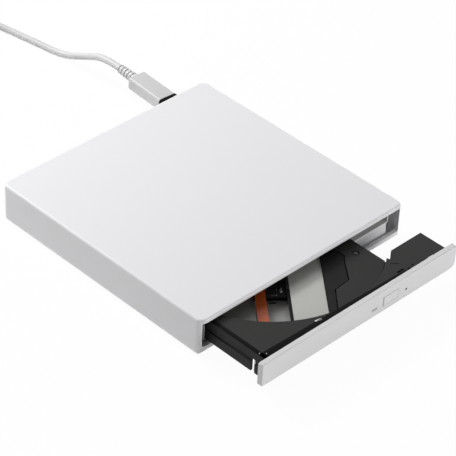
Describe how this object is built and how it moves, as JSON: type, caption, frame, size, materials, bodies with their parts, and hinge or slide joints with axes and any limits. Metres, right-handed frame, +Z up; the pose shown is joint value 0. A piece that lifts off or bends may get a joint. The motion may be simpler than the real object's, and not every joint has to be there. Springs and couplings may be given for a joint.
{
  "type": "external dvd drive",
  "caption": "Flat square external disc drive with rounded edges, its tray part open to show the laser unit, an eject button, a status light and a cable with plugs.",
  "frame": {"origin": "on the surface that the feet stand on, under the middle of the box round the drive with its tray part open, without the cable and its plugs", "axes": "+X to the right along the front, +Y to the back, +Z up; the front faces -Y"},
  "size_m": [0.141, 0.4238, 0.0232],
  "materials": {
    "white_case": "satin",
    "white_plug": "satin",
    "white_cable": "smooth",
    "white_tie": "smooth",
    "bezel_silver": "satin",
    "button_silver": "satin",
    "tray_black": "fine grain",
    "hood_black": "matte",
    "sled_black": "matte",
    "rail_black": "smooth",
    "rubber": "matte",
    "foam": "foam",
    "steel_sheet": "rolled",
    "silver_base": "satin",
    "light_plate": "brushed",
    "screw_steel": "smooth",
    "rod_steel": "polished",
    "plug_metal": "smooth",
    "circuit_green": "lacquered",
    "chip_black": "matte",
    "film_orange": "smooth",
    "film_white": "smooth",
    "lens_glass": "polished",
    "light_window": "smooth",
    "nut_brass": "smooth"
  },
  "bodies": {
    "case": {"top_shell": "white_case", "bottom_shell": "white_case", "rubber_feet": "rubber", "case_screws": "screw_steel", "foam_pads": "foam", "drive_pan": "steel_sheet", "drive_cover": "steel_sheet", "inner_screws": "screw_steel", "guide_rail_left": "rail_black", "guide_rail_right": "rail_black", "logic_board": "circuit_green", "logic_chips": "chip_black", "flex_lower": "film_white", "drive_connector": "chip_black", "bridge_board": "circuit_green", "bridge_chips": "chip_black", "usb_socket": "plug_metal", "eject_sleeve": "rail_black", "eject_spring": "screw_steel", "mini_plug": "white_plug", "mini_plug_shell": "plug_metal", "usb_cable": "white_cable", "cable_coil": "white_cable", "cable_tie": "white_tie", "usb_a_plug": "white_plug", "usb_a_shell": "plug_metal"},
    "pusher": {"eject_pusher": "rail_black"},
    "half_way": {"slide_rail_left": "steel_sheet", "slide_rail_right": "steel_sheet", "flex_turn": "film_white"},
    "tray": {"tray": "tray_black", "tray_cover": "steel_sheet", "tray_screws": "screw_steel", "bezel": "bezel_silver", "bezel_bracket": "steel_sheet", "status_lens": "light_window", "switch_board": "circuit_green", "switch_parts": "chip_black", "latch_solenoid": "chip_black", "flex_upper": "film_white", "dampers": "rubber", "traverse_base": "silver_base", "guide_rods": "rod_steel", "rod_holders": "rail_black", "spindle_motor": "steel_sheet", "sled_motor": "steel_sheet", "light_plate": "light_plate", "unit_hood": "hood_black", "pickup_flex": "film_orange"},
    "button": {"eject_button": "button_silver"},
    "latch": {"latch_lever": "steel_sheet"},
    "spindle": {"turntable": "hood_black", "hub_balls": "screw_steel", "turntable_pad": "rubber"},
    "sled": {"pickup_sled": "sled_black", "sled_nut": "nut_brass"},
    "lens": {"lens_holder": "sled_black", "objective_lens": "lens_glass"},
    "screw": {"lead_screw": "rod_steel"}
  },
  "joints": [
    {"name": "tray_slide", "type": "slide", "parent": "case", "child": "tray", "axis": [0, -1, 0], "range_m": [-0.0386, 0.0854]},
    {"name": "half_way_slide", "type": "slide", "parent": "case", "child": "half_way", "axis": [0, -1, 0], "range_m": [-0.0193, 0.0427]},
    {"name": "spindle_spin", "type": "hinge", "parent": "tray", "child": "spindle", "pos_m": [-0.0013, -0.02615, 0.016], "axis": [0, 0, 1], "continuous": true},
    {"name": "sled_slide", "type": "slide", "parent": "tray", "child": "sled", "axis": [-0.6428, -0.766, 0], "range_m": [-0.004, 0.0305]},
    {"name": "screw_turn", "type": "hinge", "parent": "tray", "child": "screw", "pos_m": [-0.01338, -0.06823, 0.0114], "axis": [-0.6428, -0.766, 0], "range_deg": [-480, 3660]},
    {"name": "lens_focus", "type": "slide", "parent": "sled", "child": "lens", "axis": [0, 0, 1], "range_m": [-0.00035, 0.00035], "stiffness_N_per_m": 60},
    {"name": "button_press", "type": "slide", "parent": "tray", "child": "button", "axis": [0, 1, 0], "range_m": [0, 0.0006], "stiffness_N_per_m": 600, "springref_m": -0.0005},
    {"name": "latch_turn", "type": "hinge", "parent": "tray", "child": "latch", "pos_m": [0.015, -0.06915, 0.00905], "axis": [0, 0, 1], "range_deg": [0, 10]},
    {"name": "pusher_slide", "type": "slide", "parent": "case", "child": "pusher", "axis": [0, -1, 0], "range_m": [0, 0.012]}
  ],
  "couplings": [
    {"joint": "half_way_slide", "follows": "tray_slide", "ratio": 0.5},
    {"joint": "screw_turn", "follows": "sled_slide", "rad_per_m": 2094.4}
  ]
}
